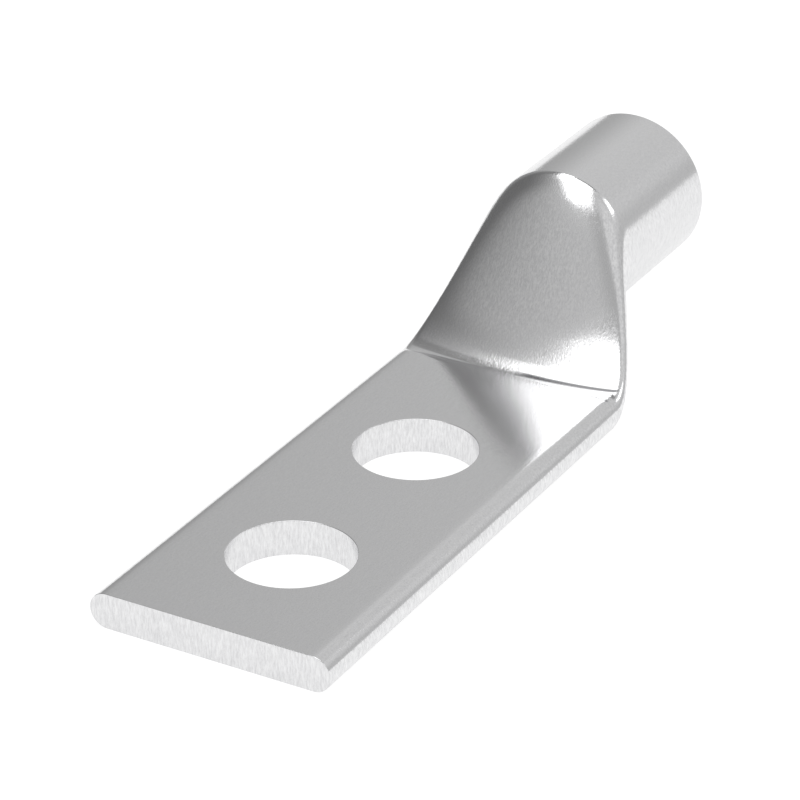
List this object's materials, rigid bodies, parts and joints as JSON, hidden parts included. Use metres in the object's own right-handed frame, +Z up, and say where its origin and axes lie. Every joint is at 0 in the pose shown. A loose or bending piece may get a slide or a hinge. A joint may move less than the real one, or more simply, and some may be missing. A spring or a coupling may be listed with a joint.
{
  "type": "two-hole cable lug",
  "caption": "Tin-plated copper compression lug: a flat tongue with stud holes in line, a ramp that opens from flat to round, and a short barrel with a blind bore for the cable.",
  "frame": {"origin": "midway between the two stud holes, on the tongue's underside, which is the face that bears on the busbar", "axes": "+X along the lug from the tongue's cut end to the barrel's mouth, +Z up out of the contact face, +Y across the tongue"},
  "size_m": [0.0461, 0.0138, 0.0116],
  "materials": {
    "tinned_copper": "satin"
  },
  "bodies": {
    "root": {"lug_body": "tinned_copper"}
  },
  "joints": []
}
